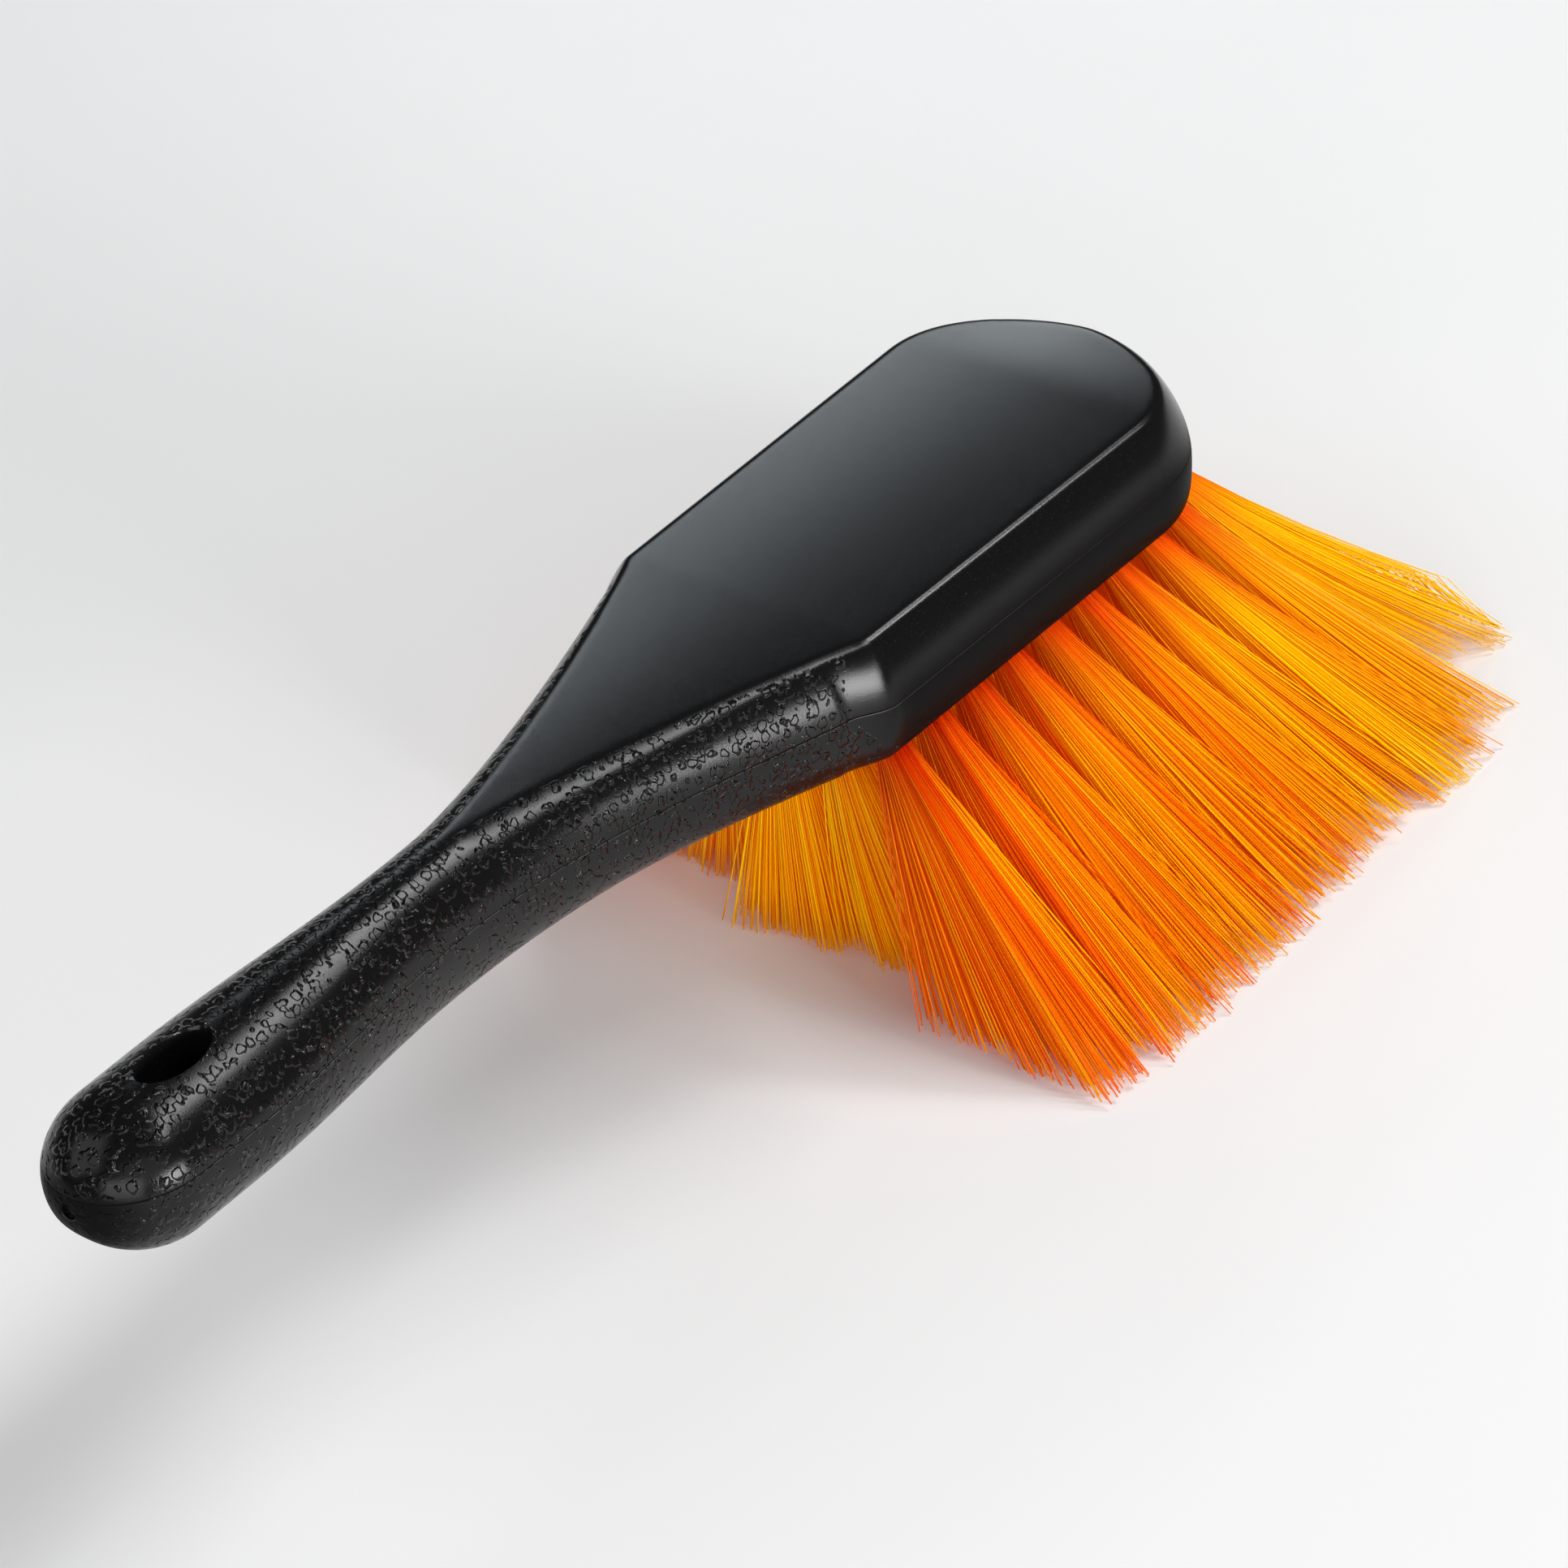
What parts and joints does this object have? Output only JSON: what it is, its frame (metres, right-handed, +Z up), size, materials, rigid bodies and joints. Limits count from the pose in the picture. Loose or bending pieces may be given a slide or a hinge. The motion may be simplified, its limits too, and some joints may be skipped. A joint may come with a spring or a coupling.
{
  "type": "wheel brush",
  "caption": "Handheld wheel brush: one-piece black block with a slim grained handle and hanging slot, and flared orange filament tufts under an arched head",
  "frame": {"origin": "middle of the brush's length and width, on the plane of its trimmed bristle tips", "axes": "+X along the brush from the handle's end to the nose, +Y across the head to the left side, +Z up from the bristle tips to the head's top face"},
  "size_m": [0.3804, 0.1874, 0.0877],
  "materials": {
    "block_plastic": "near-black foamed plastic: satin on the head and the tongue, pebble grain on the handle",
    "filament": "glossy translucent orange filament",
    "anchor_metal": "flat nickel-silver strip, cut and driven bare"
  },
  "bodies": {
    "root": {"brush_block": "block_plastic", "tuft_row1_1": "filament", "tuft_row2_1": "filament", "tuft_row3_1": "filament", "tuft_row4_1": "filament", "tuft_row5_1": "filament", "tuft_row1_2": "filament", "tuft_row2_2": "filament", "tuft_row3_2": "filament", "tuft_row4_2": "filament", "tuft_row5_2": "filament", "tuft_row1_3": "filament", "tuft_row2_3": "filament", "tuft_row3_3": "filament", "tuft_row4_3": "filament", "tuft_row5_3": "filament", "tuft_row1_4": "filament", "tuft_row2_4": "filament", "tuft_row3_4": "filament", "tuft_row4_4": "filament", "tuft_row5_4": "filament", "tuft_row1_5": "filament", "tuft_row2_5": "filament", "tuft_row3_5": "filament", "tuft_row4_5": "filament", "tuft_row5_5": "filament", "tuft_row1_6": "filament", "tuft_row2_6": "filament", "tuft_row3_6": "filament", "tuft_row4_6": "filament", "tuft_row5_6": "filament", "tuft_row1_7": "filament", "tuft_row2_7": "filament", "tuft_row3_7": "filament", "tuft_row4_7": "filament", "tuft_row5_7": "filament", "tuft_row1_8": "filament", "tuft_row2_8": "filament", "tuft_row3_8": "filament", "tuft_row4_8": "filament", "tuft_row5_8": "filament", "tuft_row1_9": "filament", "tuft_row2_9": "filament", "tuft_row3_9": "filament", "tuft_row4_9": "filament", "tuft_row5_9": "filament", "tuft_row2_10": "filament", "tuft_row3_10": "filament", "tuft_row4_10": "filament", "anchors_row1": "anchor_metal", "anchors_row2": "anchor_metal", "anchors_row3": "anchor_metal", "anchors_row4": "anchor_metal", "anchors_row5": "anchor_metal"}
  },
  "joints": []
}
